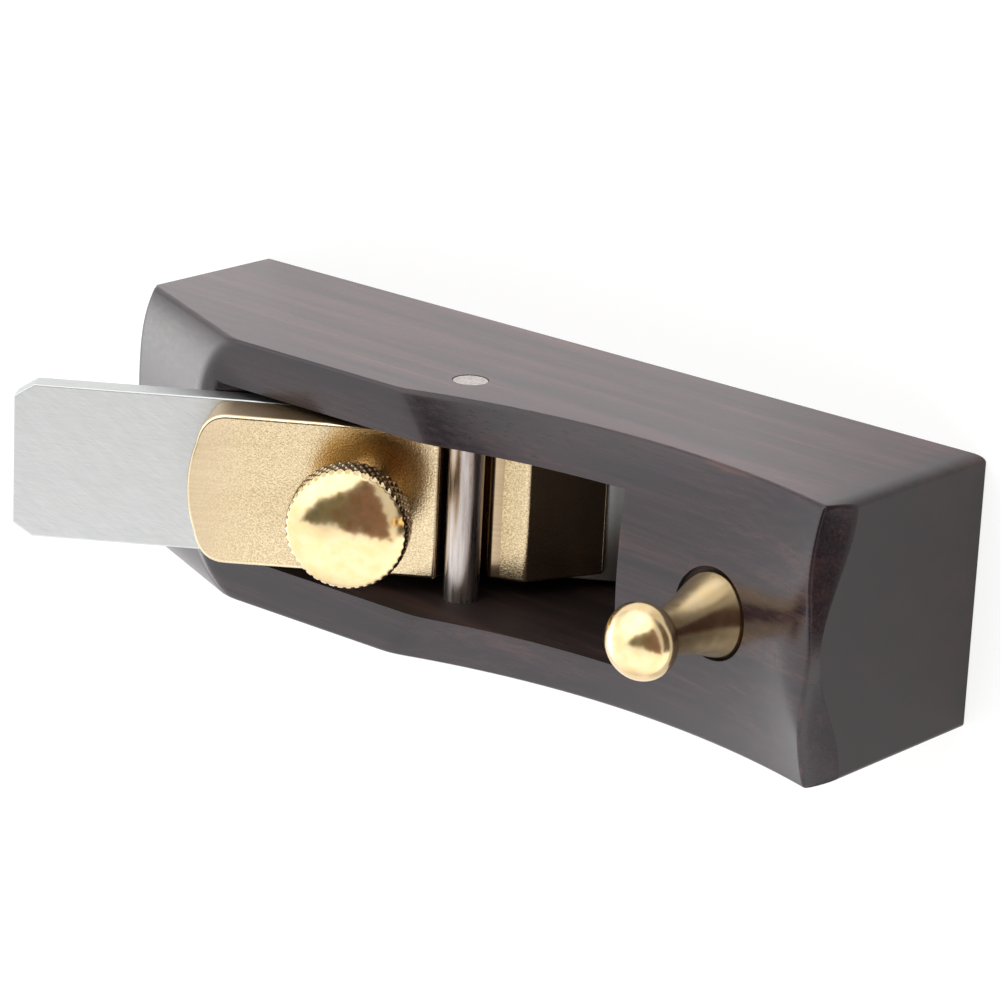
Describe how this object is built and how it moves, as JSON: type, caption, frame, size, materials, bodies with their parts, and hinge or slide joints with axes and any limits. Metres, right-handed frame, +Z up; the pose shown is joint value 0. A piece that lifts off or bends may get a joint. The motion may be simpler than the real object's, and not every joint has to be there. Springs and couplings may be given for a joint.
{
  "type": "mini hand plane",
  "caption": "Small dark wood hand plane with a bedded steel iron, a brass lever cap on a cross pin, a knurled brass thumbscrew and a turned brass front knob.",
  "frame": {"origin": "middle of the sole, on its surface", "axes": "+X towards the toe (knob end), +Y across the width to the plane's left seen from the heel, +Z up from the sole"},
  "size_m": [0.104, 0.0306, 0.0445],
  "materials": {
    "ebony": "fine, close-grained dark wood with a low waxed sheen",
    "tool_steel": "ground, with fine slanting scratches",
    "bright_steel": "bright turned rod",
    "cast_brass": "fine-grained cast skin with filed bright edges",
    "polished_brass": "turned and polished"
  },
  "bodies": {
    "stock": {"stock": "ebony", "cross_pin": "bright_steel", "front_knob": "polished_brass"},
    "iron": {"iron": "tool_steel"},
    "lever_cap": {"lever_cap": "cast_brass"},
    "thumbscrew_stud": {"thumbscrew_stud": "polished_brass"},
    "thumbscrew_head": {"thumbscrew_head": "polished_brass"}
  },
  "joints": [
    {"name": "iron_slide", "type": "slide", "parent": "stock", "child": "iron", "axis": [-0.8241, 0, 0.5664], "range_m": [-0.0008, 0.03]},
    {"name": "cap_rock", "type": "hinge", "parent": "stock", "child": "lever_cap", "pos_m": [-0.00219, 0, 0.0204], "axis": [0, -1, 0], "range_deg": [0, 1.1]},
    {"name": "thumbscrew_travel", "type": "slide", "parent": "lever_cap", "child": "thumbscrew_stud", "axis": [0.5664, 0, 0.8241], "range_m": [0, 0.004]},
    {"name": "thumbscrew_turn", "type": "hinge", "parent": "thumbscrew_stud", "child": "thumbscrew_head", "pos_m": [-0.01168, 0.00055, 0.02707], "axis": [0.5664, 0, 0.8241], "range_deg": [-2, 1802]}
  ],
  "couplings": [
    {"joint": "thumbscrew_turn", "follows": "thumbscrew_travel", "rad_per_m": 7854}
  ]
}
